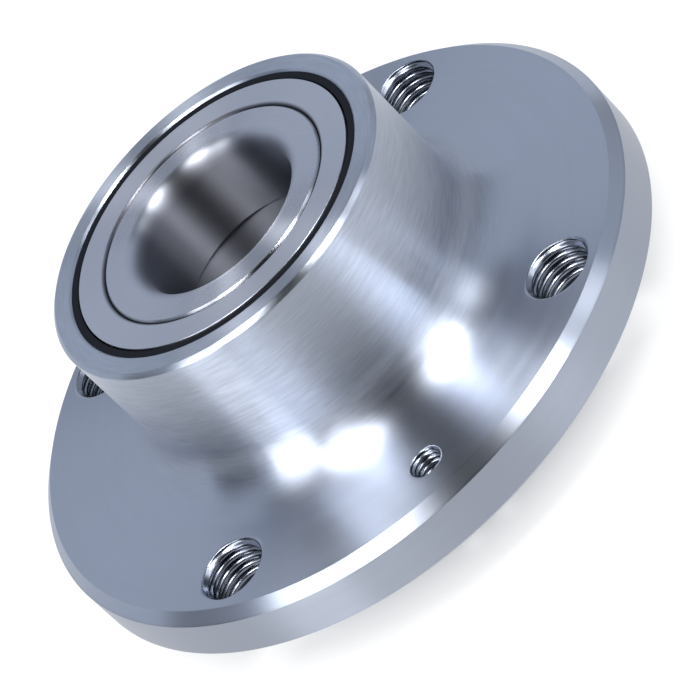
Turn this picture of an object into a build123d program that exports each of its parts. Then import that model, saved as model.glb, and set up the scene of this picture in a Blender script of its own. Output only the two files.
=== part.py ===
from build123d import *

import os
from math import cos, pi, radians, sin, sqrt

# Rear wheel hub with an integrated double-row angular contact ball bearing, in millimetres.
#
# The bearing axis is Z. Z = 0 is the flange face that the wheel bolts against, and +Z runs
# inboard, to the nose of the boss. The pilot that centres the wheel reaches below Z = 0.
#
# The flanged hub is the bearing's outer ring: both raceways are ground into its bore. Two inner
# rings meet in the middle, held together by a split clip, and run back to back on two rows of
# balls in snap cages. A cassette seal closes each end.

# ---------------------------------------------------------------- bearing
bore_diameter = 30.0
bore_mouth_radius = 3.0
ball_diameter = 9.525
balls_per_row = 12
ball_centre_height = 8.0  # from the bore out to the ball centres
row_spacing = 12.8
contact_angle = 35.0
groove_conformity = 0.52  # raceway radius over ball diameter
ball_clearance = 0.0875  # between a ball and each raceway
high_shoulder_height = 3.8  # of both rings, above the bottom of their raceway
low_shoulder_height = 0.35
inner_ring_recess = 0.2  # the inboard ring's face below the nose of the boss
inner_ring_edge_chamfer = 0.4

# ---------------------------------------------------------------- cages
cage_pocket_clearance = 0.15
cage_ring_overhang = 6.2  # from the ball centres to the outside of the cage's ring
cage_ring_width = 1.9
cage_ring_inner_clearance = 0.4
cage_ring_outer_clearance = 1.6
cage_horn_reach = 3.4  # from the ball centres to the tips of the horns
cage_horn_inner_offset = 1.5  # from the pitch circle in to the horns' inside
cage_horn_outer_offset = 1.2
cage_notch_width = 2.0
cage_notch_depth = 2.6
cage_seal_gap = 1.0

# ---------------------------------------------------------------- seals
seal_depth = 4.9  # from the bearing's face to the bottom of the seal's seat
inboard_seat_step = 1.4  # from the raceway's low shoulder out to the seal's seat
inboard_seat_chamfer = 0.4
outboard_seat_step = 0.2
seal_case_thickness = 0.6
seal_case_inset = 0.7  # from the bearing's face to the rim of the steel case
seal_case_lap = 3.3  # how far the case's flange reaches in from its seat's wall
flinger_thickness = 0.6
flinger_bend_radius = 0.9
flinger_end_gap = 0.3  # from the bottom of the seal's seat to the end of the flinger's sleeve
flinger_edge_gap = 0.25
rubber_rim_width = 1.35
rubber_rim_recess = 0.1
rubber_skin = 0.7
lip_thickness = 0.5
lip_gap = 0.1

# ---------------------------------------------------------------- clip between the inner rings
clip_thickness = 0.6
clip_bore_clearance = 0.3  # so that the axle never touches the clip
clip_groove_clearance = 0.1
clip_half_length = 3.6
clip_lip_height = 0.6
clip_slot_width = 2.0

# ---------------------------------------------------------------- flange, boss and pilot
bolt_circle_diameter = 100.0
flange_rim_width = 9.5  # from the bolt circle out to the flange's edge
flange_thickness = 10.3
flange_front_chamfer = 1.9
flange_back_chamfer = 0.8
boss_wall = 4.1  # around the inboard seal's seat
boss_height = 30.2  # from the flange's front face to the nose
boss_root_fillet = 9.0
boss_nose_chamfer = 0.8
pilot_wall = 1.9  # around the seat of the grease cap
pilot_length = 9.0
pilot_lead_chamfer = 1.2
face_relief_width = 1.2  # groove round the pilot's root, so that a wheel seats flat
face_relief_depth = 0.3
cap_seat_step = 0.4  # from the outboard seal's seat out to the grease cap's seat
cap_seat_length = 6.5
cap_seat_chamfer = 0.5

# ---------------------------------------------------------------- tapped holes
bolt_count = 4
bolt_first_angle = 45.0
bolt_thread_diameter = 12.0
bolt_thread_pitch = 1.5
screw_thread_diameter = 6.0  # the brake disc's locating screw
screw_thread_pitch = 1.0
screw_gaps_round = 2.5  # from the first wheel bolt round to the screw, in gaps between bolts
hole_mouth_margin = 0.25  # how far a hole's countersunk mouth clears its thread
hole_mouth_angle = 90.0

# ---------------------------------------------------------------- places worked out from these
full_turn = 360.0
ball_spacing_angle = full_turn / balls_per_row
bore_radius = bore_diameter / 2
ball_radius = ball_diameter / 2
pitch_radius = bore_radius + ball_centre_height
raceway_radius = groove_conformity * ball_diameter
inner_groove_bottom = pitch_radius - ball_radius - ball_clearance
outer_groove_bottom = pitch_radius + ball_radius + ball_clearance
inner_land_radius = inner_groove_bottom + high_shoulder_height
inner_low_radius = inner_groove_bottom + low_shoulder_height
outer_rib_radius = outer_groove_bottom - high_shoulder_height
outer_low_radius = outer_groove_bottom - low_shoulder_height
inboard_seat_radius = outer_low_radius + inboard_seat_step
outboard_seat_radius = outer_low_radius + outboard_seat_step
cap_seat_radius = outboard_seat_radius + cap_seat_step
pilot_radius = cap_seat_radius + pilot_wall
boss_radius = inboard_seat_radius + boss_wall
bolt_circle_radius = bolt_circle_diameter / 2
flange_radius = bolt_circle_radius + flange_rim_width
clip_inner_radius = bore_radius + clip_bore_clearance
clip_outer_radius = clip_inner_radius + clip_thickness
clip_lip_radius = clip_outer_radius + clip_lip_height

row_offset = row_spacing / 2
inner_ring_width = row_offset + cage_ring_overhang + cage_seal_gap + seal_depth
nose_z = flange_thickness + boss_height
centre_z = nose_z - inner_ring_recess - inner_ring_width

DIRECTIONS = {"inboard": 1, "outboard": -1}
SEAT_RADII = {"inboard": inboard_seat_radius, "outboard": outboard_seat_radius}
FIRST_BALL_ANGLES = {"inboard": 0.0, "outboard": ball_spacing_angle / 2}


def along(side, offset):
    """Z of a point that lies offset from the middle of the bearing towards one of its ends."""
    return centre_z + DIRECTIONS[side] * offset


def below_face(side, depth):
    """Z of a point that lies depth inside the bearing's face at one end."""
    return along(side, inner_ring_width - depth)


def raceway(side, ring, low_radius, high_radius):
    """Ends and middle of a ring's raceway in the (radius, Z) plane, low shoulder first.

    The arc's centre is shifted along the line of contact, so that the ball comes nearest to the
    raceway at the contact angle. An inner ring is loaded from its own end of the bearing, and
    the outer ring from the middle.
    """
    outward = 1 if ring == "outer" else -1
    contact_r = outward * cos(radians(contact_angle))
    contact_z = -outward * sin(radians(contact_angle))
    shift = raceway_radius - ball_radius - ball_clearance
    centre_r = pitch_radius - contact_r * shift
    centre_offset = row_offset - contact_z * shift

    def end(radius, direction):
        reach = sqrt(raceway_radius**2 - (radius - centre_r) ** 2)
        return (radius, along(side, centre_offset + direction * reach))

    middle_r = centre_r + contact_r * raceway_radius
    middle_z = along(side, centre_offset + contact_z * raceway_radius)
    return end(low_radius, outward), (middle_r, middle_z), end(high_radius, -outward)


def save(built, name):
    built.part.label = name
    export_step(built.part, f"parts/{name}.step")


# ================================================================ hub
def tapped_holes(angle, count, thread_diameter, pitch):
    """Tap-drilled holes through the flange, countersunk on both faces."""
    drill_radius = (thread_diameter - pitch) / 2
    mouth_radius = thread_diameter / 2 + hole_mouth_margin
    front = Plane.XY.offset(flange_thickness)
    back = Plane.XY.rotated((180, 0, 0))
    with Locations(front):
        with PolarLocations(bolt_circle_radius, count, start_angle=angle):
            CounterSinkHole(drill_radius, mouth_radius, flange_thickness, hole_mouth_angle)
    with Locations(back):
        with PolarLocations(bolt_circle_radius, count, start_angle=-angle):
            CounterSinkHole(drill_radius, mouth_radius, flange_thickness, hole_mouth_angle)


def hub_bore_outline():
    """Everything that is turned and ground out of the hub's bore, from the nose to the pilot."""
    in_low, in_mid, in_high = raceway("inboard", "outer", outer_low_radius, outer_rib_radius)
    out_low, out_mid, out_high = raceway("outboard", "outer", outer_low_radius, outer_rib_radius)
    cap_seat_end = cap_seat_length - pilot_length
    Polyline(
        (0, nose_z),
        (inboard_seat_radius + inboard_seat_chamfer, nose_z),
        (inboard_seat_radius, nose_z - inboard_seat_chamfer),
        (inboard_seat_radius, below_face("inboard", seal_depth)),
        (outer_low_radius, below_face("inboard", seal_depth)),
        in_low,
    )
    ThreePointArc(in_low, in_mid, in_high)
    Line(in_high, out_high)
    ThreePointArc(out_high, out_mid, out_low)
    Polyline(
        out_low,
        (outer_low_radius, below_face("outboard", seal_depth)),
        (outboard_seat_radius, below_face("outboard", seal_depth)),
        (outboard_seat_radius, cap_seat_end),
        (cap_seat_radius, cap_seat_end),
        (cap_seat_radius, cap_seat_chamfer - pilot_length),
        (cap_seat_radius + cap_seat_chamfer, -pilot_length),
        (0, -pilot_length),
        (0, nose_z),
    )


with BuildPart() as hub_flange:
    with BuildSketch():
        Circle(flange_radius)
    extrude(amount=flange_thickness)
    chamfer(hub_flange.edges().group_by(Axis.Z)[-1], flange_front_chamfer)
    chamfer(hub_flange.edges().group_by(Axis.Z)[0], flange_back_chamfer)

    with BuildSketch(Plane.XY.offset(flange_thickness)):
        Circle(boss_radius)
    extrude(amount=boss_height)
    chamfer(hub_flange.edges().group_by(Axis.Z)[-1], boss_nose_chamfer)
    front_circles = hub_flange.edges().filter_by_position(Axis.Z, flange_thickness, flange_thickness)
    fillet(front_circles.sort_by(SortBy.RADIUS)[0], boss_root_fillet)

    with BuildSketch():
        Circle(pilot_radius)
    extrude(amount=-pilot_length)
    chamfer(hub_flange.edges().group_by(Axis.Z)[0], pilot_lead_chamfer)

    with BuildSketch(Plane.XZ):
        with BuildLine():
            Polyline(
                (pilot_radius, 0),
                (pilot_radius, face_relief_depth),
                (pilot_radius + face_relief_width - face_relief_depth, face_relief_depth),
                (pilot_radius + face_relief_width, 0),
                close=True,
            )
        make_face()
    revolve(axis=Axis.Z, mode=Mode.SUBTRACT)

    with BuildSketch(Plane.XZ):
        with BuildLine():
            hub_bore_outline()
        make_face()
    revolve(axis=Axis.Z, mode=Mode.SUBTRACT)

    bolt_spacing_angle = full_turn / bolt_count
    screw_angle = bolt_first_angle + screw_gaps_round * bolt_spacing_angle
    tapped_holes(bolt_first_angle, bolt_count, bolt_thread_diameter, bolt_thread_pitch)
    tapped_holes(screw_angle, 1, screw_thread_diameter, screw_thread_pitch)


# ================================================================ inner rings
def inner_ring(side):
    """One inner ring: high shoulder at its own end, low shoulder where it meets the other ring."""
    groove_radius = clip_outer_radius + clip_groove_clearance
    undercut_radius = clip_lip_radius + clip_groove_clearance
    undercut_start = along(side, clip_half_length - clip_thickness - clip_groove_clearance)
    undercut_end = along(side, clip_half_length + clip_groove_clearance)
    face = below_face(side, 0)
    low, middle, high = raceway(side, "inner", inner_low_radius, inner_land_radius)
    mouth_face = (bore_radius + bore_mouth_radius, face)
    mouth_bore = (bore_radius, below_face(side, bore_mouth_radius))
    mouth_drop = bore_mouth_radius * (1 - sin(pi / 4))
    mouth_middle = (bore_radius + mouth_drop, below_face(side, mouth_drop))
    with BuildPart() as ring:
        with BuildSketch(Plane.XZ):
            with BuildLine():
                Polyline(
                    mouth_bore,
                    (bore_radius, undercut_end),
                    (undercut_radius, undercut_end),
                    (undercut_radius, undercut_start),
                    (groove_radius, undercut_start),
                    (groove_radius, centre_z),
                    (inner_low_radius, centre_z),
                    low,
                )
                ThreePointArc(low, middle, high)
                Polyline(
                    high,
                    (inner_land_radius, below_face(side, inner_ring_edge_chamfer)),
                    (inner_land_radius - inner_ring_edge_chamfer, face),
                    mouth_face,
                )
                ThreePointArc(mouth_face, mouth_middle, mouth_bore)
            make_face()
        revolve(axis=Axis.Z)
    return ring


# ================================================================ clip between the inner rings
with BuildPart() as inner_ring_clip:
    with BuildSketch(Plane.XZ):
        with BuildLine():
            Polyline(
                (clip_inner_radius, centre_z - clip_half_length),
                (clip_lip_radius, centre_z - clip_half_length),
                (clip_lip_radius, centre_z - clip_half_length + clip_thickness),
                (clip_outer_radius, centre_z - clip_half_length + clip_thickness),
                (clip_outer_radius, centre_z + clip_half_length - clip_thickness),
                (clip_lip_radius, centre_z + clip_half_length - clip_thickness),
                (clip_lip_radius, centre_z + clip_half_length),
                (clip_inner_radius, centre_z + clip_half_length),
                close=True,
            )
        make_face()
    revolve(axis=Axis.Z)
    with Locations((clip_lip_radius, 0, centre_z)):
        Box(2 * clip_lip_radius, clip_slot_width, 2 * clip_half_length, mode=Mode.SUBTRACT)


# ================================================================ balls and cages
def ball(side, number):
    angle = radians(FIRST_BALL_ANGLES[side] + number * ball_spacing_angle)
    place = (pitch_radius * cos(angle), pitch_radius * sin(angle), along(side, row_offset))
    with BuildPart() as sphere:
        with Locations(place):
            Sphere(ball_radius)
    return sphere


# One snap cage, with the ball centres at Z = 0: a ring above the balls, and a pair of horns
# between each ball and the next that reach down past them. Both rows use it.
with BuildPart() as snap_cage:
    ring_top = cage_ring_overhang
    ring_bottom = cage_ring_overhang - cage_ring_width
    ring_inner = inner_land_radius + cage_ring_inner_clearance
    ring_outer = outer_low_radius - cage_ring_outer_clearance
    horn_inner = pitch_radius - cage_horn_inner_offset
    horn_outer = pitch_radius + cage_horn_outer_offset
    with BuildSketch(Plane.XZ):
        with BuildLine():
            Polyline(
                (ring_inner, ring_top),
                (ring_outer, ring_top),
                (ring_outer, ring_bottom),
                (horn_outer, 0),
                (horn_outer, -cage_horn_reach),
                (horn_inner, -cage_horn_reach),
                (horn_inner, 0),
                (ring_inner, ring_bottom),
                close=True,
            )
        make_face()
    revolve(axis=Axis.Z)
    with BuildSketch(Plane.XY.offset(-cage_horn_reach)):
        with PolarLocations(pitch_radius, balls_per_row, start_angle=ball_spacing_angle / 2):
            Rectangle(ball_diameter, cage_notch_width)
    extrude(amount=cage_notch_depth, mode=Mode.SUBTRACT)
    with PolarLocations(pitch_radius, balls_per_row):
        Sphere(ball_radius + cage_pocket_clearance, mode=Mode.SUBTRACT)


def cage(side):
    """The snap cage on its row, with its ring towards the bearing's end."""
    turned_over = 0 if side == "inboard" else full_turn / 2
    with BuildPart() as placed:
        with Locations((0, 0, along(side, row_offset))):
            add(snap_cage.part.rotate(Axis.X, turned_over).rotate(Axis.Z, FIRST_BALL_ANGLES[side]))
    return placed


# ================================================================ cassette seals
def seal_case(side):
    """L-shaped steel ring pressed into its seat, with its flange towards the balls."""
    seat = SEAT_RADII[side]
    bottom = below_face(side, seal_depth)
    flange_top = below_face(side, seal_depth - seal_case_thickness)
    rim = below_face(side, seal_case_inset)
    with BuildPart() as built:
        with BuildSketch(Plane.XZ):
            with BuildLine():
                Polyline(
                    (seat, bottom),
                    (seat, rim),
                    (seat - seal_case_thickness, rim),
                    (seat - seal_case_thickness, flange_top),
                    (seat - seal_case_lap, flange_top),
                    (seat - seal_case_lap, bottom),
                    close=True,
                )
            make_face()
        revolve(axis=Axis.Z)
    return built


def flinger(side):
    """L-shaped stainless ring pressed on the inner ring's land; its disc is the seal's face."""
    face = below_face(side, 0)
    sleeve_end = below_face(side, seal_depth - flinger_end_gap)
    sleeve_outer = inner_land_radius + flinger_thickness
    disc_inside = below_face(side, flinger_thickness)
    edge = SEAT_RADII[side] - rubber_rim_width - flinger_edge_gap
    bend_z = below_face(side, flinger_bend_radius)
    bend_r = inner_land_radius + flinger_bend_radius
    inside_bend = flinger_bend_radius - flinger_thickness
    with BuildPart() as built:
        with BuildSketch(Plane.XZ):
            with BuildLine():
                outer_bend = RadiusArc(
                    (inner_land_radius, bend_z),
                    (bend_r, face),
                    flinger_bend_radius * DIRECTIONS[side],
                )
                Polyline(outer_bend @ 1, (edge, face), (edge, disc_inside), (bend_r, disc_inside))
                inner_bend = RadiusArc(
                    (bend_r, disc_inside),
                    (sleeve_outer, bend_z),
                    -inside_bend * DIRECTIONS[side],
                )
                Polyline(
                    inner_bend @ 1,
                    (sleeve_outer, sleeve_end),
                    (inner_land_radius, sleeve_end),
                    outer_bend @ 0,
                )
            make_face()
        revolve(axis=Axis.Z)
    return built


def seal_rubber(side):
    """Rubber moulded on the case: an outer rim, one lip to the disc and two to the sleeve."""
    seat = SEAT_RADII[side]
    rim_inner = seat - rubber_rim_width
    rim_face = below_face(side, rubber_rim_recess)
    case_rim = below_face(side, seal_case_inset)
    case_wall = seat - seal_case_thickness
    case_top = below_face(side, seal_depth - seal_case_thickness)
    case_edge = seat - seal_case_lap
    case_bottom = below_face(side, seal_depth)
    skin_top_depth = seal_depth - seal_case_thickness - rubber_skin
    skin_top = below_face(side, skin_top_depth)
    disc = below_face(side, flinger_thickness + lip_gap)
    sleeve = inner_land_radius + flinger_thickness + lip_gap
    lip_root = (sleeve + case_edge) / 2
    disc_lip_root = (lip_root + rim_inner) / 2
    with BuildPart() as built:
        with BuildSketch(Plane.XZ):
            with BuildLine():
                Polyline(
                    (seat, case_rim),
                    (seat, rim_face),
                    (rim_inner, rim_face),
                    (rim_inner, skin_top),
                    (disc_lip_root + lip_thickness, skin_top),
                    (disc_lip_root + 2 * lip_thickness, disc),
                    (disc_lip_root + lip_thickness, disc),
                    (disc_lip_root - lip_thickness, skin_top),
                    (lip_root + lip_thickness, skin_top),
                    (sleeve, below_face(side, skin_top_depth - 2 * lip_thickness)),
                    (sleeve, below_face(side, skin_top_depth - lip_thickness)),
                    (lip_root, case_top),
                    (sleeve, below_face(side, seal_depth - 2 * lip_thickness)),
                    (sleeve, below_face(side, seal_depth - lip_thickness)),
                    (case_edge, case_bottom),
                    (case_edge, case_top),
                    (case_wall, case_top),
                    (case_wall, case_rim),
                    close=True,
                )
            make_face()
        revolve(axis=Axis.Z)
    return built


# ================================================================ export
os.makedirs("parts", exist_ok=True)
save(hub_flange, "hub_flange")
save(inner_ring_clip, "inner_ring_clip")
for end_name in DIRECTIONS:
    save(inner_ring(end_name), f"inner_ring_{end_name}")
    save(cage(end_name), f"cage_{end_name}")
    save(seal_case(end_name), f"seal_case_{end_name}")
    save(seal_rubber(end_name), f"seal_rubber_{end_name}")
    save(flinger(end_name), f"flinger_{end_name}")
    for index in range(balls_per_row):
        save(ball(end_name, index), f"ball_{end_name}_{index + 1:02d}")
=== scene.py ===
# %% [markdown]
# # Rear wheel hub with its bearing: the visual model
#
# The hub is a turned steel forging. A four-bolt flange carries the wheel, and a short boss holds
# a double-row ball bearing that is closed at both ends by cassette seals. The CAD model gives
# every place and size here. This script adds what the solids leave out: cut threads, broken
# edges, and the finish that the lathe, the grinder and the mould leave behind.
#
# Lengths are written in millimetres and scaled to metres where a mesh is made. The axis is Z,
# and Z = 0 is the face that the wheel bolts against.

import bpy
import numpy as np
from mathutils import Matrix, Vector


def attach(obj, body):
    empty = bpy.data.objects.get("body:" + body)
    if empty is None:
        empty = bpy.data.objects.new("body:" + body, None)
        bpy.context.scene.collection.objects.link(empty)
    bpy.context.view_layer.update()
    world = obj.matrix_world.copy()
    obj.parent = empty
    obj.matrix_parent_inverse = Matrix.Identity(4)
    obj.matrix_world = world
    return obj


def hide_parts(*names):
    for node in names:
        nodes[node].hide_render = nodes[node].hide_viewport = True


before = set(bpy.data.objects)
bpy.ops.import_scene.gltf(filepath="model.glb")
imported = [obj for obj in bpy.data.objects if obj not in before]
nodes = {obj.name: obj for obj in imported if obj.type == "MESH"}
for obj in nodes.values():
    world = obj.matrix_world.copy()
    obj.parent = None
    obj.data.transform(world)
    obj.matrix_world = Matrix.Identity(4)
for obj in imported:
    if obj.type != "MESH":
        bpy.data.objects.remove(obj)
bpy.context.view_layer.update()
MM = 0.001

# %% [markdown]
# ## Camera
#
# A long lens looks down on the boss at about a third of a right angle, and the camera is rolled
# by an eighth of a turn, so that the axis leans across the picture. A camera could be turned with
# Euler angles. Here its three axes are worked out as vectors, because a roll about the line of
# sight is then a plain rotation of two of them.

# %% Camera
AZIMUTH, ELEVATION, ROLL = np.radians([5.2, 33.5, 45.71])
CAMERA_DISTANCE = 850.85
SIDE_SHIFT, UP_SHIFT = 1.453, -1.120
FOCAL_LENGTH, SENSOR_WIDTH = 263.1, 36.0


def camera_axes(azimuth, elevation, roll):
    """Right, up and back of a camera: back points from the target to the lens, right is level,
    and both right and up are then turned about back by the roll."""
    right = np.array([np.cos(azimuth), np.sin(azimuth), 0])
    back = np.array([
        np.sin(azimuth) * np.cos(elevation),
        -np.cos(azimuth) * np.cos(elevation),
        np.sin(elevation),
    ])
    up = np.cross(back, right)
    c, s = np.cos(roll), np.sin(roll)
    return c * right - s * up, s * right + c * up, back


right, up, back = camera_axes(AZIMUTH, ELEVATION, ROLL)
lens = bpy.data.cameras.new("camera")
lens.lens, lens.sensor_width = FOCAL_LENGTH, SENSOR_WIDTH
lens.clip_start, lens.clip_end = 0.05, 20.0
camera = bpy.data.objects.new("camera", lens)
place = (back * CAMERA_DISTANCE - right * SIDE_SHIFT - up * UP_SHIFT) * MM
turn = np.eye(4)
turn[:3, :3] = np.stack([right, up, back], axis=1)
turn[:3, 3] = place
camera.matrix_world = Matrix(turn.tolist())
bpy.context.scene.collection.objects.link(camera)
bpy.context.scene.camera = camera
print("camera at", place.round(3))

# %% [markdown]
# ## Sheet for shader maths
#
# A finish is a small formula: rings every few tenths of a millimetre, a little stain, a roughness
# that follows both. Nodes can be added and linked one by one, which hides the formula. A wrapper
# round a socket, with Python's own operators, keeps it readable.

# %% Values in a shader
class Value:
    """A number in a shader that can be added, subtracted and multiplied as in Python."""

    def __init__(self, finish, socket):
        self.finish, self.socket = finish, socket

    def math(self, operation, *others):
        return self.finish.node(
            "ShaderNodeMath", {"operation": operation}, dict(enumerate((self, *others)))
        )

    def __add__(self, other):
        return self.math("ADD", other)

    def __mul__(self, other):
        return self.math("MULTIPLY", other)

    def __sub__(self, other):
        return self.math("SUBTRACT", other)

    def __rsub__(self, other):
        return (self * -1) + other

    __radd__, __rmul__ = __add__, __mul__


print("a value knows add, subtract and multiply")

# %% [markdown]
# ## One material
#
# Every finish needs the same few steps: a shader with its constants, nodes, and links. A function
# for each material would repeat them. One class holds them once, and a single method adds any
# node, with its settings first because some of them change which sockets it has.

# %% Finish
def socket_name(word):
    """The shader's own name of a socket, from a Python word such as base_color."""
    return word.replace("_", " ").title().replace("Ior", "IOR")


class Finish:
    """One material. Its constants go straight onto the shader, and node() adds any other node."""

    def __init__(self, name, **constants):
        self.material = bpy.data.materials.new(name)
        self.material.use_nodes = True
        self.tree = self.material.node_tree
        self.shader = self.tree.nodes["Principled BSDF"]
        for socket, value in constants.items():
            self.shader.inputs[socket_name(socket)].default_value = value

    def node(self, kind, settings=None, values=None, output=0):
        """Adds a node: its settings first, then a value or a link for each socket."""
        made = self.tree.nodes.new(kind)
        for name, setting in (settings or {}).items():
            setattr(made, name, setting)
        for name, value in (values or {}).items():
            if isinstance(value, Value):
                self.tree.links.new(value.socket, made.inputs[name])
            else:
                made.inputs[name].default_value = value
        return Value(self, made.outputs[output])

    def feed(self, **links):
        """Links values that change over the surface into the shader."""
        for socket, value in links.items():
            self.tree.links.new(value.socket, self.shader.inputs[socket_name(socket)])

    def place(self):
        """Object coordinates: x, y, z in metres, which never slide when a body turns."""
        return self.node("ShaderNodeTexCoord", output="Object")

    def mix(self, factor, first, second):
        """A colour between two, by a factor from 0 to 1. Sockets 6 and 7 take the colours."""
        return self.node(
            "ShaderNodeMix", {"data_type": "RGBA"}, {0: factor, 6: first, 7: second}, output=2
        )

    def noise(self, vector, scale, detail=2.0):
        """Smooth noise about one half, with scale in features per unit of the vector."""
        return self.node(
            "ShaderNodeTexNoise", None, {"Vector": vector, "Scale": scale, "Detail": detail}
        )

    def bump(self, height, depth):
        """A normal that follows a height of 0 to 1, whose full step is depth in metres."""
        return self.node("ShaderNodeBump", None, {"Height": height, "Distance": depth})


print("finishes can add:", [name for name in vars(Finish) if not name.startswith("_")])

# %% [markdown]
# ## Turned and ground steel
#
# A lathe tool leaves rings: fine grooves that run round the axis on every surface, whether it is
# a face, a cone or a cylinder. Rings could be drawn as a wave on one coordinate, but a face needs
# rings in radius and a cylinder needs rings along the axis. Noise on both together, in four
# dimensions, gives each its rings, and a slow change round the axis keeps them from looking
# printed. The shader's own anisotropy stretches highlights across the rings, which is what makes
# bright fans on a turned face and streaks along a turned cylinder.

# %% Rings and bands
RING_PITCH = 0.22 * MM
FINE_RINGS = RING_PITCH, 1.5  # how far apart in metres, and how much they change round the axis
BROAD_RINGS = 9 * RING_PITCH, 2.5
COARSE_RINGS = 2 * RING_PITCH, 7.0


def round_axis(finish):
    """Radius, height, and the x and y of the unit spoke at each point of the surface."""
    point = finish.place()
    flat = finish.node("ShaderNodeVectorMath", {"operation": "MULTIPLY"}, {0: point, 1: (1, 1, 0)})
    radius = finish.node("ShaderNodeVectorMath", {"operation": "LENGTH"}, {0: flat}, output="Value")
    spoke = finish.node("ShaderNodeVectorMath", {"operation": "NORMALIZE"}, {0: flat})
    x = finish.node("ShaderNodeSeparateXYZ", None, {0: spoke}, output="X")
    y = finish.node("ShaderNodeSeparateXYZ", None, {0: spoke}, output="Y")
    height = finish.node("ShaderNodeSeparateXYZ", None, {0: point}, output="Z")
    return radius, height, x, y


def lathe_rings(finish, spacing, wander):
    """Noise that changes fast with radius and height, and slowly round the axis."""
    radius, height, x, y = round_axis(finish)
    rings = finish.node(
        "ShaderNodeCombineXYZ", None, {0: radius * (1 / spacing), 1: x * wander, 2: y * wander}
    )
    return finish.node(
        "ShaderNodeTexNoise",
        {"noise_dimensions": "4D"},
        {"Vector": rings, "W": height * (1 / spacing), "Scale": 1.0, "Detail": 2.0},
    )


def band(finish, radius, reach):
    """One at a radius, falling smoothly to nothing at reach on either side."""
    away = (round_axis(finish)[0] - radius * MM).math("ABSOLUTE")
    return finish.node(
        "ShaderNodeMapRange",
        {"interpolation_type": "SMOOTHSTEP"},
        {"Value": away, "From Max": reach * MM, "To Min": 1.0, "To Max": 0.0},
    )


print("tool rings about", round(RING_PITCH / MM, 2), "mm apart")

# %% [markdown]
# ## Steel
#
# All the steels here share one recipe: rings for the tool, a stain, bands of painted shade, and
# duller bands where handling shows. A painted map could hold that, but bands placed by radius stay
# sharp at any distance. The bore and the flange's rim are painted darker as shade, the mouth is
# dull from handling, and the thin groove beside each flinger is painted nearly black as shade. The
# boss was turned with a coarser feed than the flange.

# %% A machined steel
NOISE_MEAN = 0.5
FINE_SHARE, BROAD_SHARE, STAIN_SHARE = 0.35, 0.40, 0.25
STAIN_SCALE, STAIN_DETAIL = 70.0, 4.0
GLOSS_CHANGE = 0.05
# painted shade: a nearly black band in the thin groove beside each flinger
GROOVE_SHADE_TONE, GROOVE_SHADE_COVER = (0.02, 0.02, 0.03, 1), 0.9
# painted shade: a darker band in the bore and on the flange's rim
SHADE_BAND_TONE, SHADE_BAND_COVER = (0.06, 0.06, 0.08, 1), 0.75
DULLING = 0.36


def machined_steel(
    name, dark, light, roughness, anisotropy, groove,
    groove_shade=None, shade_band=None, dull=None, coarse=None,
):
    """Steel whose colour, gloss and height follow its tool rings and a faint stain.

    The groove's depth is in millimetres. The bands each take a radius and a reach. The first two
    are
    painted shade: a nearly black one for a thin groove, and a darker one for a bore or a rim. The
    dull one is rougher. Coarse is a band with wider rings, and how strong they are.
    """
    steel = Finish(name, metallic=1.0, anisotropic=anisotropy, anisotropic_rotation=0.25)
    fine, broad = lathe_rings(steel, *FINE_RINGS), lathe_rings(steel, *BROAD_RINGS)
    stain = steel.noise(steel.place(), STAIN_SCALE, STAIN_DETAIL)
    tone = fine * FINE_SHARE + broad * BROAD_SHARE + stain * STAIN_SHARE
    gloss = (fine + broad + stain - 3 * NOISE_MEAN) * GLOSS_CHANGE + roughness
    if coarse:
        *where, strength = coarse
        wide = lathe_rings(steel, *COARSE_RINGS) - NOISE_MEAN
        marks = wide * band(steel, *where) * strength
        tone, gloss = tone + marks, gloss + marks * GLOSS_CHANGE
    colour = steel.mix(tone, (*dark, 1), (*light, 1))
    # painted shade, nearly black, in a thin groove
    if groove_shade:
        colour = steel.mix(band(steel, *groove_shade) * GROOVE_SHADE_COVER, colour, GROOVE_SHADE_TONE)
    # painted shade, darker, in a bore or on a rim
    if shade_band:
        colour = steel.mix(band(steel, *shade_band) * SHADE_BAND_COVER, colour, SHADE_BAND_TONE)
    if dull:
        gloss = gloss + band(steel, *dull) * DULLING
    steel.feed(base_color=colour, roughness=gloss, normal=steel.bump(fine, groove * MM))
    return steel.material


print("stain features are about", round(1 / STAIN_SCALE / MM), "mm across")

# %% The steels
# the band at 60.5 mm paints shade on the flange's rim
turned_hub_steel = machined_steel(
    "turned_hub_steel", dark=(0.36, 0.39, 0.46), light=(0.46, 0.50, 0.58),
    roughness=0.32, anisotropy=0.97, groove=0.003, shade_band=(60.5, 1.5), coarse=(33, 7, 2.0),
)
# inside the holes, the thread's colour is painted darker as shade
shaded_cut_thread_steel = machined_steel(
    "shaded_cut_thread_steel", dark=(0.11, 0.12, 0.15), light=(0.31, 0.34, 0.40),
    roughness=0.24, anisotropy=0.0, groove=0.002,
)
# painted shade: nearly black in the groove beside the flinger, darker in the bore and the start of
# its mouth
ground_bearing_steel = machined_steel(
    "ground_bearing_steel", dark=(0.41, 0.43, 0.49), light=(0.49, 0.51, 0.57),
    roughness=0.27, anisotropy=1.0, groove=0.001,
    groove_shade=(22.15, 0.65), shade_band=(14.6, 2.2), dull=(14.0, 4.2),
)
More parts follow.
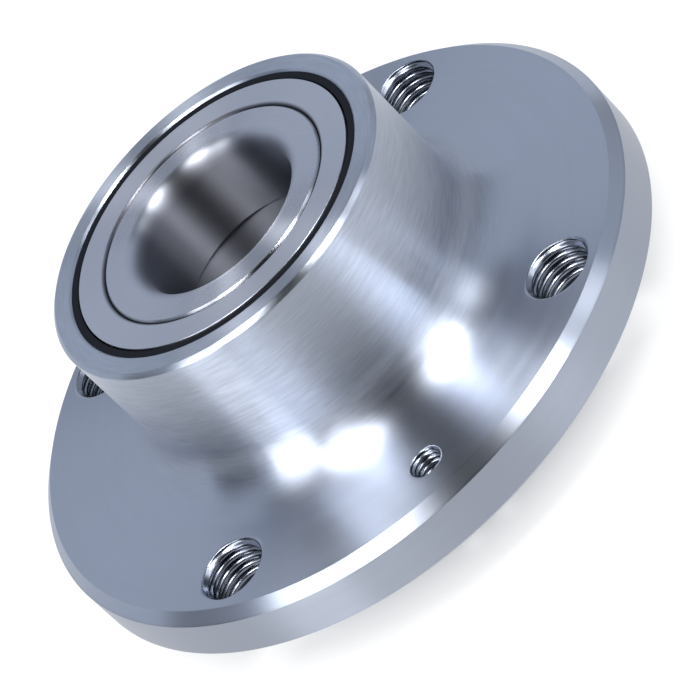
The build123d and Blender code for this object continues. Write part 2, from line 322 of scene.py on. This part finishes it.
# painted shade: nearly black in the groove at the flinger's root
stainless_flinger = machined_steel(
    "stainless_flinger", dark=(0.42, 0.44, 0.50), light=(0.50, 0.52, 0.58),
    roughness=0.32, anisotropy=0.80, groove=0.001, groove_shade=(22.15, 0.65),
)
pressed_seal_steel = machined_steel(
    "pressed_seal_steel", dark=(0.36, 0.36, 0.37), light=(0.46, 0.46, 0.47),
    roughness=0.38, anisotropy=0.3, groove=0.001,
)
spring_steel = machined_steel(
    "spring_steel", dark=(0.20, 0.21, 0.25), light=(0.27, 0.28, 0.32),
    roughness=0.52, anisotropy=0.95, groove=0.001,
)
ball_steel = machined_steel(
    "ball_steel", dark=(0.62, 0.63, 0.65), light=(0.70, 0.71, 0.73),
    roughness=0.09, anisotropy=0.0, groove=0.0002,
)
print(len(bpy.data.materials), "materials so far")

# %% [markdown]
# ## Rubber and nylon
#
# The seals' rubber is moulded and matt, with a fine grain and a few paler specks of bloom. The
# cages are glass-filled nylon: short fibres show just under the skin as pale flecks. An image of
# such a skin could be wrapped round each piece, but it would need seams. Noise in the piece's own
# coordinates has none, and one function serves both.

# %% Moulded finishes
SPECK_SHARE, PATCH_SHARE = 0.7, 0.3
SPECK_GLOSS, PATCH_GLOSS = 0.1, 0.25
SPECK_DETAIL = 3.0
PATCH_SCALE = 90.0
SKIN_DEPTH = 0.01 * MM


def moulded(name, dark, light, roughness, grain, shine=0.5):
    """A moulded skin: specks as far apart as the grain, and a broad change of gloss."""
    skin = Finish(name, metallic=0.0, specular_ior_level=shine)
    speck = skin.noise(skin.place(), 1 / (grain * MM), SPECK_DETAIL)
    patch = skin.noise(skin.place(), PATCH_SCALE)
    broad, fine = (patch - NOISE_MEAN) * PATCH_GLOSS, (speck - NOISE_MEAN) * SPECK_GLOSS
    skin.feed(
        base_color=skin.mix(speck * SPECK_SHARE + patch * PATCH_SHARE, (*dark, 1), (*light, 1)),
        roughness=broad + fine + roughness,
        normal=skin.bump(speck, SKIN_DEPTH),
    )
    return skin.material


seal_rubber = moulded(
    "seal_rubber", dark=(0.0015, 0.002, 0.004), light=(0.005, 0.006, 0.010),
    roughness=0.75, grain=0.12, shine=0.1,
)
cage_nylon = moulded(
    "cage_nylon", dark=(0.15, 0.135, 0.10), light=(0.30, 0.27, 0.20), roughness=0.45, grain=0.25
)
print(seal_rubber.name, "and", cage_nylon.name)

# %% [markdown]
# ## Outlines
#
# Everything here except the balls and cages is turned, so each piece is one closed outline in the
# plane of radius and height, carried round the axis. No machined corner is truly sharp: a broken
# edge of a tenth of a millimetre is what catches the light. A Bevel modifier could make those.
# Rounding the corners of the outline instead gives the same edge with a handful of points.

# %% Outline helpers
EDGE = 0.12
CORNER_STEPS = 3


def soften(corners):
    """Rows of radius, height and corner radius become points, with each corner made an arc.

    The arc touches both sides of its corner. Its centre lies on the bisector, at the corner radius
    over the sine of half the angle, and the points sweep evenly between the two touching normals.
    A row with no corner radius stays one point.
    """
    corners = np.asarray(corners, float)
    point, size = corners[:, :2], np.maximum(corners[:, 2:], 1e-9)
    before, after = np.roll(point, 1, axis=0) - point, np.roll(point, -1, axis=0) - point
    before /= np.linalg.norm(before, axis=1, keepdims=True)
    after /= np.linalg.norm(after, axis=1, keepdims=True)
    bisector = before + after
    bisector /= np.maximum(np.linalg.norm(bisector, axis=1, keepdims=True), 1e-12)
    cosine = (before * bisector).sum(axis=1, keepdims=True)
    sine = np.maximum(np.sqrt(1 - cosine**2), 1e-6)
    centre = point + bisector * size / sine
    first = point + before * size * cosine / sine - centre
    last = point + after * size * cosine / sine - centre
    across = first[:, 0] * last[:, 1] - first[:, 1] * last[:, 0]
    swing = np.arctan2(across, (first * last).sum(axis=1))
    angle = swing[:, None] * np.linspace(0, 1, CORNER_STEPS + 1)[None, :]
    c, s = np.cos(angle), np.sin(angle)
    r = c * first[:, :1] - s * first[:, 1:]
    z = s * first[:, :1] + c * first[:, 1:]
    arcs = centre[:, None, :] + np.stack([r, z], axis=2)
    rounded = corners[:, 2] > 0
    arcs[~rounded] = point[~rounded][:, None, :]
    keep = rounded[:, None] | (np.arange(CORNER_STEPS + 1) == 0)[None, :]
    return arcs[keep]


def arc_rows(centre, radius, start, end, count):
    """Rows along an arc of the outline: centre plus radius times the cosine and sine."""
    angle = np.radians(np.linspace(start, end, count))
    r, z = centre[0] + radius * np.cos(angle), centre[1] + radius * np.sin(angle)
    return np.stack([r, z, 0 * angle], axis=1)


print("a square corner becomes", CORNER_STEPS + 1, "points")

# %% [markdown]
# ## Places in the bearing
#
# Two rows of balls lie back to back: each ball presses its inner ring towards the middle of the
# bearing and the hub away from it, along a line 35 degrees from square. Both ends could be written
# out in heights above the wheel face. Measured from the bearing's middle instead, one set of rows
# serves both ends and only the sign changes.

# %% Places in the bearing
CENTRE_Z = 21.8
RING_WIDTH = 18.5
ROW_OFFSET = 6.4
PITCH_RADIUS = 23.0
BALL_RADIUS = 4.7625
BALL_CLEARANCE = 0.0875
RACEWAY_RADIUS = 4.953
CONTACT_ANGLE = np.radians(35.0)
RACEWAY_POINTS = 9
SIDES = {"inboard": 1, "outboard": -1}
SEAT_RADII = {"inboard": 28.9, "outboard": 27.7}


def raceway_rows(outward, low_radius, high_radius):
    """Rows of a raceway, low shoulder first, with height measured from the bearing's middle.

    The arc's centre is shifted back along the line of contact, so that the ball comes nearest to
    the raceway at the contact angle.
    """
    shift = RACEWAY_RADIUS - BALL_RADIUS - BALL_CLEARANCE
    centre_r = PITCH_RADIUS - outward * np.cos(CONTACT_ANGLE) * shift
    centre_h = ROW_OFFSET + outward * np.sin(CONTACT_ANGLE) * shift
    low = np.arccos((low_radius - centre_r) / RACEWAY_RADIUS)
    high = np.arccos((high_radius - centre_r) / RACEWAY_RADIUS)
    start, end = (low, -high) if outward > 0 else (2 * np.pi - low, high)
    angle = np.linspace(start, end, RACEWAY_POINTS)
    r, h = centre_r + RACEWAY_RADIUS * np.cos(angle), centre_h + RACEWAY_RADIUS * np.sin(angle)
    return np.stack([r, h, 0 * angle], axis=1)


def on_side(side, rows):
    """Rows with height from the bearing's middle, put at their end of the bearing."""
    return np.asarray(rows) * (1, SIDES[side], 1) + (0, CENTRE_Z, 0)


print("raceways of", round(RACEWAY_RADIUS, 3), "mm radius")

# %% [markdown]
# ## Turned pieces
#
# A turned piece could be made with the Screw modifier or bmesh's spin. Both hide the points, and
# the hub needs them to fit its bolt holes in. A grid of angle and place along the outline gives
# the same surface as two whole arrays.

# %% From an outline to a turned grid
TURN_STEPS = 480


def closed_turn(outline):
    """Points of a closed outline carried round the axis, and the quads between them.

    Point (i, j) is radius j times the cosine and sine of angle i, at height j. The outline is
    first put in the order that leaves its inside on the left, so that the faces look outwards.
    """
    r, z = outline[:, 0], outline[:, 1]
    if (r * np.roll(z, -1) - np.roll(r, -1) * z).sum() < 0:
        r, z = r[::-1], z[::-1]
    angle = 2 * np.pi * np.arange(TURN_STEPS) / TURN_STEPS
    points = np.stack(
        [np.outer(np.cos(angle), r), np.outer(np.sin(angle), r), np.tile(z, (TURN_STEPS, 1))],
        axis=2,
    )
    i, j = np.meshgrid(np.arange(TURN_STEPS), np.arange(len(r)), indexing="ij")
    return points.reshape(-1, 3), grid_quads(i, j, TURN_STEPS, len(r))


def grid_quads(i, j, rows, columns):
    """The quad from each (i, j) to its neighbours, wrapping round in both directions."""
    after_i, after_j = (i + 1) % rows, (j + 1) % columns
    corners = [
        i * columns + j, after_i * columns + j, after_i * columns + after_j, i * columns + after_j
    ]
    return np.stack(corners, axis=-1).reshape(-1, 4)


print(TURN_STEPS, "steps round, each", round(360 / TURN_STEPS, 2), "degrees")

# %% From a grid to a piece
def volume(points, quads):
    """Signed volume: one sixth of the triple products of both triangles of every quad."""
    a, b, c, d = (points[quads[:, k]] for k in range(4))
    return float((a * (np.cross(b, c) + np.cross(c, d))).sum() / 6)


def make_piece(name, points, quads, material, slot, body, *replaced):
    """A smooth-shaded object at the origin that rides on its body and stands for its solids."""
    mesh = bpy.data.meshes.new(name)
    mesh.from_pydata((points * MM).tolist(), [], quads.tolist())
    mesh.shade_smooth()
    mesh.materials.append(material)
    piece = bpy.data.objects.new(name, mesh)
    bpy.context.scene.collection.objects.link(piece)
    piece.modifiers.new("flat_faces_stay_flat", "WEIGHTED_NORMAL").weight = 100
    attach(piece, body)
    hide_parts(*replaced)
    print(f"{name}: {2 * len(quads)} triangles, {volume(points, quads) / 1000:.2f} cm3")
    return piece


def turned_piece(name, corners, material, slot, body, *replaced):
    """A piece whose whole shape is one closed outline, carried round the axis."""
    points, quads = closed_turn(soften(corners))
    return make_piece(name, points, quads, material, slot, body, *replaced)


print("the volume printed for each piece is positive when its faces look outwards")

# %% [markdown]
# ## Inner rings
#
# Two ground rings meet in the middle of the bearing and stay still on the axle. Their outer ends
# are what shows: a flat ground face, and a generous radius into the bore. A cylinder with a bevel
# would give that much, but the raceway behind it has to fit the balls, so the outline carries both.

# %% Inner rings
BORE, MOUTH = 15.0, 3.0
LOW_LAND, LAND = 18.5, 21.95
CLIP_RELIEF, CLIP_GROOVE = 16.0, 16.6
GROOVE_START, GROOVE_END = 2.9, 3.7
BEVEL = 0.4
for side in SIDES:
    turned_piece(
        f"ground_inner_ring_{side}",
        on_side(side, [
            (BORE, GROOVE_END, EDGE), (CLIP_GROOVE, GROOVE_END, 0),
            (CLIP_GROOVE, GROOVE_START, 0), (CLIP_RELIEF, GROOVE_START, 0), (CLIP_RELIEF, 0, 0),
            (LOW_LAND, 0, EDGE),
            *raceway_rows(-1, LOW_LAND, LAND),
            (LAND, RING_WIDTH - BEVEL, EDGE), (LAND - BEVEL, RING_WIDTH, EDGE),
            *arc_rows((BORE + MOUTH, RING_WIDTH - MOUTH), MOUTH, 90, 180, count=15),
        ]),
        ground_bearing_steel, "ground_bearing_steel", "inner_rings", f"inner_ring_{side}",
    )

# %% [markdown]
# ## Flingers
#
# A pressed stainless disc sits on each inner ring and throws water off. Its sleeve is bent over at
# the root, so a fine round-bottomed groove shows between ring and disc. Solidify on a bent line
# would give the sheet. Two arcs about one centre give the same bend with an even thickness.

# %% Flingers
SHEET, BEND = 0.6, 0.9
SLEEVE_END = 13.9
RIM_TO_SEAT = 1.6
for side in SIDES:
    edge = SEAT_RADII[side] - RIM_TO_SEAT
    bend_centre = (LAND + BEND, RING_WIDTH - BEND)
    turned_piece(
        f"pressed_flinger_{side}",
        on_side(side, [
            *arc_rows(bend_centre, BEND, 180, 90, count=9),
            (edge, RING_WIDTH, EDGE), (edge, RING_WIDTH - SHEET, EDGE),
            *arc_rows(bend_centre, BEND - SHEET, 90, 180, count=5),
            (LAND + SHEET, SLEEVE_END, EDGE), (LAND, SLEEVE_END, EDGE),
        ]),
        stainless_flinger, "stainless_flinger", "inner_rings", f"flinger_{side}",
    )

# %% [markdown]
# ## Seal rubber
#
# Rubber is moulded round the seal's steel case. All that shows from outside is its rim, a black
# ring between the hub and the flinger. Behind it one lip reaches for the flinger's disc and two
# reach for its sleeve. A plain ring would look the same from outside. The whole section is drawn,
# because a seal without lips is no seal when the hub is opened.

# %% Seal rubbers
CASE_SHEET = 0.6
CASE_BACK, WEB, CASE_FRONT, RIM_FRONT = 13.6, 14.2, 17.8, 18.4
SKIN = 14.9  # height of the rubber that covers the case's web
RIM_WIDTH, CASE_WIDTH, SLEEVE_GAP = 1.35, 3.3, 0.7
DIRT_LIP, GREASE_LIP, LIP_TIP = 15.4, 14.1, 0.5
OUTER_ROUND, INNER_ROUND, LIP_ROUND = 0.15, 0.25, 0.1
for side, seat in SEAT_RADII.items():
    rim, case_edge, sleeve = seat - RIM_WIDTH, seat - CASE_WIDTH, LAND + SLEEVE_GAP
    lip_root = (sleeve + case_edge) / 2
    disc_lip = (lip_root + rim) / 2
    turned_piece(
        f"moulded_seal_{side}",
        on_side(side, [
            (seat, CASE_FRONT, 0), (seat, RIM_FRONT, OUTER_ROUND), (rim, RIM_FRONT, INNER_ROUND),
            (rim, SKIN, LIP_ROUND),
            (disc_lip + LIP_TIP, SKIN, LIP_ROUND), (disc_lip + 2 * LIP_TIP, CASE_FRONT, LIP_ROUND),
            (disc_lip + LIP_TIP, CASE_FRONT, LIP_ROUND), (disc_lip - LIP_TIP, SKIN, LIP_ROUND),
            (lip_root + LIP_TIP, SKIN, LIP_ROUND),
            (sleeve, DIRT_LIP + LIP_TIP, LIP_ROUND), (sleeve, DIRT_LIP, LIP_ROUND),
            (lip_root, WEB, LIP_ROUND),
            (sleeve, GREASE_LIP + LIP_TIP, LIP_ROUND), (sleeve, GREASE_LIP, LIP_ROUND),
            (case_edge, CASE_BACK, 0), (case_edge, WEB, 0), (seat - CASE_SHEET, WEB, 0),
            (seat - CASE_SHEET, CASE_FRONT, 0),
        ]),
        seal_rubber, "seal_rubber", "hub", f"seal_rubber_{side}",
    )

# %% [markdown]
# ## The hub's outline
#
# The hub is one forging, turned all over. Its outline runs in two strips: from the flange's front
# face over the boss, down the bore and round the pilot to the back face, and then round the
# flange's rim. Between the strips lie the two flat faces, front and back, that the bolt holes
# pierce. One closed outline would be shorter, but the flat faces need a grid of their own, fine
# enough for the holes.

# %% Hub outline
FLANGE_RADIUS, FLANGE_THICKNESS, CHAMFER = 59.5, 10.3, 1.9
FACE_INNER, FACE_OUTER = 42.8, 57.2
BOSS, NOSE, FILLET = 33.0, 40.5, 9.0
BROKEN, NOSE_ROUND = 0.8, 0.4
PILOT, PILOT_END, LEAD_IN = 30.0, -9.0, 1.2
RELIEF_INNER, RELIEF_OUTER, RELIEF_DEPTH = 30.9, 31.2, 0.3
LOW_SHOULDER, RIB = 27.5, 24.05
SEAT_FLOORS = {"inboard": 35.4, "outboard": 8.2}
CAP_SEAT, CAP_SEAT_END, CAP_BEVEL = 28.1, -2.5, 0.5

seat_in, seat_out = SEAT_RADII.values()
boss_strip = [
    (FACE_INNER, FLANGE_THICKNESS, 0),
    *arc_rows((BOSS + FILLET, FLANGE_THICKNESS + FILLET), FILLET, 270, 180, count=17),
    (BOSS, NOSE - BROKEN, NOSE_ROUND), (BOSS - BROKEN, NOSE, NOSE_ROUND),
    (seat_in + BEVEL, NOSE, EDGE), (seat_in, NOSE - BEVEL, EDGE),
    (seat_in, SEAT_FLOORS["inboard"], 0), (LOW_SHOULDER, SEAT_FLOORS["inboard"], 0),
    *on_side("inboard", raceway_rows(1, LOW_SHOULDER, RIB)),
    *on_side("outboard", raceway_rows(1, LOW_SHOULDER, RIB))[::-1],
    (LOW_SHOULDER, SEAT_FLOORS["outboard"], 0), (seat_out, SEAT_FLOORS["outboard"], 0),
    (seat_out, CAP_SEAT_END, 0), (CAP_SEAT, CAP_SEAT_END, 0),
    (CAP_SEAT, PILOT_END + CAP_BEVEL, EDGE), (CAP_SEAT + CAP_BEVEL, PILOT_END, EDGE),
    (PILOT - LEAD_IN, PILOT_END, EDGE), (PILOT, PILOT_END + LEAD_IN, EDGE),
    (PILOT, RELIEF_DEPTH, 0), (RELIEF_INNER, RELIEF_DEPTH, 0), (RELIEF_OUTER, 0, EDGE),
    (FACE_INNER, 0, 0),
]
rim_strip = [
    (FACE_OUTER, 0, 0), (FLANGE_RADIUS - BROKEN, 0, EDGE), (FLANGE_RADIUS, BROKEN, EDGE),
    (FLANGE_RADIUS, FLANGE_THICKNESS - CHAMFER, EDGE),
    (FLANGE_RADIUS - CHAMFER, FLANGE_THICKNESS, EDGE),
    (FACE_OUTER, FLANGE_THICKNESS, 0),
]
boss_points, rim_points = soften(boss_strip), soften(rim_strip)
print(len(boss_points), "points over the boss,", len(rim_points), "round the rim")

# %% [markdown]
# ## Bolt holes with real threads
#
# Holes could be cut with the Boolean modifier, but it leaves long thin faces that shade badly. So
# the flat faces are grids, a square of cells is left out round each hole, and a tube of rings
# fills it: it starts on the square's edge, closes in on the round mouth, runs down the threaded
# wall, and opens out again on the other face. Thread and countersink are one formula, the larger
# of two radii.

# %% The hole's wall
FACE_CELLS = 22
WALL_RINGS = 74
COUNTERSINK = 0.05  # how much wider than the thread it is at the face
WHEEL_BOLT = 6.0, 1.5  # major radius and pitch
DISC_SCREW = 3.0, 1.0


def thread_radius(angle, height, major, pitch):
    """Radius of a cut thread: a helix whose section is a 60 degree V with a flat root and crest.

    The distance from the middle of the groove, along the axis, is a saw-tooth of height over pitch
    less angle over a full turn. Past the flat root, an eighth of the pitch wide, the radius falls
    by that distance times the tangent of 60 degrees, down to the flat crest.
    """
    turns = height / pitch - angle / (2 * np.pi)
    from_groove = np.abs(turns - np.floor(turns) - 0.5) * pitch
    fall = (from_groove - pitch / 16) * np.tan(np.radians(60))
    return major - np.clip(fall, 0, pitch / 2)


def hole_wall(angle, major, pitch):
    """Radius and height of each point of the wall, ring by ring, from the front face down.

    Near a face the countersink is wider than the thread, and it falls by as much as its depth.
    """
    height = np.linspace(FLANGE_THICKNESS, 0, WALL_RINGS)[:, None] + 0 * angle[None, :]
    depth = np.minimum(height, FLANGE_THICKNESS - height)
    countersink = major + COUNTERSINK - depth
    return np.maximum(thread_radius(angle[None, :], height, major, pitch), countersink), height


sample = hole_wall(np.zeros(1), *WHEEL_BOLT)[0]
print("wheel bolt thread: radius", sample.min().round(2), "to", sample.max().round(2), "mm")

# %% [markdown]
# ## The hub's mesh
#
# The turned grid, its gaps and the tubes have to share their points along every edge, or the
# surface would leak and shade with cracks. Merging by distance could close it afterwards. Here the
# tubes use the grid's own point numbers on the edge of each gap, so nothing has to be merged.

# %% A square round a hole, and the tube that fills it
MOUTH_RINGS = np.array([0.3, 0.6, 0.85])  # shares of the way in from the square's edge


def square_loop(spokes, rows, columns):
    """Point numbers round a square of cells, anticlockwise seen from the front."""
    spoke, row = np.meshgrid(spokes, rows, indexing="ij")
    number = spoke * columns + row
    sides = number[0, :-1], number[:-1, -1], number[-1, :0:-1], number[:0:-1, 0]
    return np.concatenate(sides)


def hole_tube(points, loops, angle, radius, major, pitch):
    """Rings from the front square's edge to the mouth, down the wall, and out to the back square.

    Each ring's points keep the direction that the square's own points have from the hole's axis.
    """
    centre = radius * np.array([np.cos(angle), np.sin(angle)])
    edge = points[loops[0], :2] - centre
    reach = np.linalg.norm(edge, axis=1)
    direction = edge / reach[:, None]
    wall, height = hole_wall(np.arctan2(direction[:, 1], direction[:, 0]), major, pitch)
    apron = reach + (wall[0] - reach) * MOUTH_RINGS[:, None]
    radii = np.concatenate([apron, wall, apron[::-1]])
    heights = np.concatenate([0 * apron + FLANGE_THICKNESS, height, 0 * apron])
    x, y = (centre[k] + radii * direction[:, k] for k in range(2))
    tube = np.stack([x, y, heights], axis=2).reshape(-1, 3)
    count = len(reach)
    rings = len(points) + np.arange(len(tube)).reshape(-1, count)
    numbers = np.concatenate([loops[0][None, :], rings, loops[1][None, :]])
    after = np.roll(numbers, -1, axis=1)
    corners = numbers[:-1], after[:-1], after[1:], numbers[1:]
    return tube, np.stack(corners, axis=-1).reshape(-1, 4)


print("an apron of", len(MOUTH_RINGS), "rings leads from the square to the round mouth")

# %% The hub's mesh
def hub_mesh(holes):
    """Grid of angle and outline, less a square of cells round each hole, plus a tube for each."""
    cell = (FACE_OUTER - FACE_INNER) / FACE_CELLS
    face_radii = FACE_INNER + cell * np.arange(1, FACE_CELLS)
    back_face = np.stack([face_radii, 0 * face_radii], axis=1)
    front_face = np.stack([face_radii[::-1], 0 * face_radii + FLANGE_THICKNESS], axis=1)
    outline = np.concatenate([boss_points, back_face, rim_points, front_face])
    points, quads = closed_turn(outline)
    columns = len(outline)
    back_rows = len(boss_points) - 1 + np.arange(FACE_CELLS + 1)
    front_rows = (columns - np.arange(FACE_CELLS + 1)) % columns
    kept = np.ones((TURN_STEPS, columns), bool)
    for angle, radius, half, major, pitch in holes:
        spoke = round(TURN_STEPS * angle / 360)
        middle = FACE_CELLS // 2
        spokes = (spoke + np.arange(-half, half + 1)) % TURN_STEPS
        rows = slice(middle - half, middle + half + 1)
        for face_rows, drop in ((back_rows, slice(0, -1)), (front_rows, slice(1, None))):
            kept[np.ix_(spokes[:-1], face_rows[rows][drop])] = False
        loops = [square_loop(spokes, face[rows], columns) for face in (front_rows, back_rows)]
        tube, tube_quads = hole_tube(points, loops, np.radians(angle), radius, major, pitch)
        quads = np.concatenate([quads, tube_quads])
        points = np.concatenate([points, tube])
    grid = TURN_STEPS * columns
    quads = np.concatenate([quads[:grid][kept.ravel()], quads[grid:]])
    used, quads = np.unique(quads, return_inverse=True)
    return points[used], quads.reshape(-1, 4)


BOLT_CIRCLE = 50.0
WHEEL_SQUARE, DISC_SQUARE = 11, 6  # half the width of the square round a hole, in cells
holes = [(angle, BOLT_CIRCLE, WHEEL_SQUARE, *WHEEL_BOLT) for angle in (45, 135, 225, 315)]
holes.append((270, BOLT_CIRCLE, DISC_SQUARE, *DISC_SCREW))
hub_points, hub_quads = hub_mesh(holes)
hub = make_piece(
    "turned_hub", hub_points, hub_quads, turned_hub_steel, "turned_hub_steel", "hub", "hub_flange"
)

# %% [markdown]
# ## Cut threads, painted darker as shade
#
# A tap leaves clean metal with dark grooves, unlike the turned face round it, and here the thread's
# colour is also painted darker for the shade inside each hole. A mask in the shader could tell the
# two apart, but a second material on the faces inside each hole is exact at the edge.

# %% Which faces the tap cut
MARGIN = 0.045  # takes in the countersink, and leaves out the face round it
middle = hub_points[hub_quads].mean(axis=1)
cut = np.zeros(len(hub_quads), int)
for angle, radius, _, major, _ in holes:
    centre = radius * np.array([np.cos(np.radians(angle)), np.sin(np.radians(angle))])
    cut |= np.linalg.norm(middle[:, :2] - centre, axis=1) < major + MARGIN
hub.data.materials.append(shaded_cut_thread_steel)
hub.data.polygons.foreach_set("material_index", cut)
print(int(cut.sum()), "faces were cut by a tap or a countersink")

# %% [markdown]
# ## Balls, cages, cases and clip
#
# These solids are already the right shape and mostly hidden: polished balls, moulded cages,
# pressed cases and the split clip. They could be made again as grids, but nothing would look
# different, so they stay and only their finish is new.

# %% Finish of the solids that stay
STAYS = {
    "ball_": ball_steel, "cage_": cage_nylon, "seal_case_": pressed_seal_steel,
    "inner_ring_clip": spring_steel,
}
for start, material in STAYS.items():
    kept_nodes = [node for name, node in nodes.items() if name.startswith(start)]
    for node in kept_nodes:
        node.data.materials.clear()
        node.data.materials.append(material)
    print(material.name, "on", len(kept_nodes), "solids")

# %% [markdown]
# ## Floor and background
#
# The part lies on its pilot on a white floor. A floor lit until it is white would wash out the
# metal, so Light Path lets it show white to the camera and to mirror-like rays while the light it
# throws on the part stays plain. A part of its own shaded colour stays in and carries the soft
# shadow. The world is the pale, slightly cool wall of the studio.

# %% Floor and world
WALL = (0.63, 0.69, 0.80)
FLOOR_REACH, FLOOR_SIDES, FLOOR_GAP = 4000, 64, 0.02
FLOOR_SHARE = 0.85
GLOW_FROM, GLOW_FULL = 30, 62  # radii: closer in, the floor keeps its own shading

world = bpy.data.worlds.new("studio_wall")
bpy.context.scene.world = world
world.use_nodes = True
world.node_tree.nodes["Background"].inputs["Color"].default_value = (*WALL, 1)

floor_finish = Finish("pale_floor", base_color=(0.92, 0.92, 0.92, 1), roughness=0.9)
path = {
    ray: floor_finish.node("ShaderNodeLightPath", output=f"Is {ray} Ray")
    for ray in ("Camera", "Glossy", "Transmission")
}
under = round_axis(floor_finish)[0]
lit = floor_finish.node(
    "ShaderNodeMapRange",
    {"interpolation_type": "SMOOTHSTEP"},
    {"Value": under, "From Min": GLOW_FROM * MM, "From Max": GLOW_FULL * MM},
)
seen_directly = path["Camera"].math("MAXIMUM", path["Glossy"]).math("MAXIMUM", path["Transmission"])
glow = floor_finish.node("ShaderNodeEmission", None, {"Color": (1, 1, 1, 1)})
shaded = Value(floor_finish, floor_finish.shader.outputs[0])
surface = floor_finish.node(
    "ShaderNodeMixShader", None, {0: seen_directly * lit * FLOOR_SHARE, 1: shaded, 2: glow}
)
output = floor_finish.tree.nodes["Material Output"].inputs["Surface"]
floor_finish.tree.links.new(surface.socket, output)


def stage_mesh(name, points, faces, material):
    """A floor or card of the studio, which isn't part of the object."""
    mesh = bpy.data.meshes.new(name)
    mesh.from_pydata(points.tolist(), [], faces)
    mesh.materials.append(material)
    made = bpy.data.objects.new(name, mesh)
    bpy.context.scene.collection.objects.link(made)
    return made


angle = 2 * np.pi * np.arange(FLOOR_SIDES) / FLOOR_SIDES
disc = np.stack([FLOOR_REACH * np.cos(angle), FLOOR_REACH * np.sin(angle), 0 * angle], axis=1)
disc[:, 2] = PILOT_END - FLOOR_GAP
stage_mesh("floor", disc * MM, [list(range(len(disc)))], floor_finish.material)
print("floor at", PILOT_END, "mm, wall", WALL)

# %% [markdown]
# ## Dark ceiling
#
# Bare metal shows its surroundings, and a part lit from everywhere looks like plastic. A studio
# hangs black cards where it wants dark streaks. A world with dark areas painted in could stand in
# for them. Real cards are easier to place, and these are seen by reflections alone, so that they
# throw no shadow.

# %% Black cards
CARD_DISTANCE = 1.6
CEILING = 52
CARDS = {  # azimuth from, to and how many points, then the same for elevation
    "ceiling_card": ((0, 360, 49), (CEILING, 89.5, 9)),
    "front_card": ((224, 296, 12), (3, CEILING, 9)),
    "right_card": ((352, 410, 10), (3, 15, 3)),
    "left_card": ((163, 192, 6), (3, 31, 5)),
}


def dome_patch(azimuths, elevations):
    """Grid on a sphere: distance times the direction at each azimuth and elevation."""
    a, e = np.radians(np.meshgrid(azimuths, elevations, indexing="ij"))
    points = np.stack([np.cos(a) * np.cos(e), np.sin(a) * np.cos(e), np.sin(e)], axis=2)
    i, j = np.meshgrid(np.arange(a.shape[0] - 1), np.arange(a.shape[1] - 1), indexing="ij")
    first, width = (i * a.shape[1] + j).ravel(), a.shape[1]
    faces = np.stack([first, first + width, first + width + 1, first + 1], axis=1)
    return points.reshape(-1, 3) * CARD_DISTANCE, faces.tolist()


card_finish = Finish(
    "black_card", base_color=(0.02, 0.02, 0.02, 1), roughness=1.0, specular_ior_level=0.0
)
for name, (across, upward) in CARDS.items():
    patch = dome_patch(np.linspace(*across), np.linspace(*upward))
    card = stage_mesh(name, *patch, card_finish.material)
    card.visible_camera = card.visible_diffuse = card.visible_shadow = False
print(len(CARDS), "black cards")

# %% [markdown]
# ## Soft boxes
#
# On a turned face a lamp shows as a fan, and on a turned cylinder as a streak along the axis. One
# box high on each side gives the two bright fans with a dark gap between, and the lower boxes
# give the streaks on the boss and the white line on the flange's chamfer. A sun or a spot would
# light the part as well, but with hard edges. The edges of an area lamp stay soft.

# %% Lamps
TARGET = Vector((0, 0, 0.02))
BOXES = {  # azimuth, elevation, width, height, and level, where 1 shows as plain white
    "left_high_box": (220, 65, 0.22, 0.42, 23.0),
    "right_high_box": (327, 65, 0.17, 0.42, 29.0),
    "left_low_box": (215, 13, 0.42, 0.42, 5.4),
    "left_middle_box": (206, 40, 0.36, 0.44, 3.6),
    "right_middle_box": (346, 40, 0.26, 0.40, 3.0),
    "right_front_box": (320, 42, 0.32, 0.40, 1.8),
    "right_low_box": (305, 13, 0.42, 0.42, 0.3),
}
for name, (azimuth, elevation, width, height, level) in BOXES.items():
    a, e = np.radians([azimuth, elevation])
    direction = Vector((np.cos(a) * np.cos(e), np.sin(a) * np.cos(e), np.sin(e)))  # 1 m long
    light = bpy.data.lights.new(name, "AREA")
    light.shape, light.size, light.size_y = "RECTANGLE", width, height
    light.energy = level * np.pi * width * height
    box = bpy.data.objects.new(name, light)
    bpy.context.scene.collection.objects.link(box)
    turn = (-direction).to_track_quat("-Z", "Y").to_matrix().to_4x4()
    box.matrix_world = Matrix.Translation(TARGET + direction) @ turn
    box.visible_camera = False
print(len(BOXES), "soft boxes at 1 m")

# %% [markdown]
# ## Last steps
#
# The plain view transform shows a colour as it is written.

# %% Finish
view = bpy.context.scene.view_settings
view.view_transform = "Standard"
